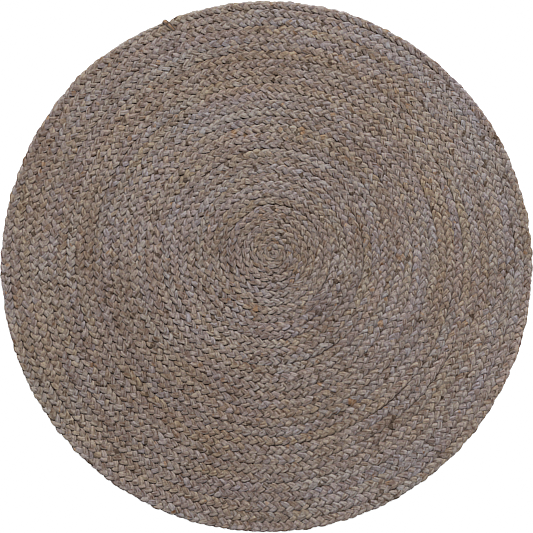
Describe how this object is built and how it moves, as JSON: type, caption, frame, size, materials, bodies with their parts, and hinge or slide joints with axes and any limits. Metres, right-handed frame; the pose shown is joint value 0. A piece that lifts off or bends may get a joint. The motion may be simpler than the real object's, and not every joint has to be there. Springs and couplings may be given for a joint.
{
  "type": "round braided jute rug",
  "caption": "Flat round floor rug: one long three-strand plait of jute, coiled in a spiral and sewn edge to edge.",
  "frame": {"origin": "on the floor, under the middle of the rug's round outline", "axes": "+Z up through the rug; seen from above, +X is right and +Y is up in the straight-down view, where the plait's tail lies on the rim at 112 degrees counter-clockwise from +X"},
  "size_m": [1.2, 1.2, 0.01],
  "materials": {
    "jute": "dull grey-brown undyed jute, three loosely spun strands plaited together"
  },
  "bodies": {
    "root": {"braided_coil": "jute"}
  },
  "joints": []
}
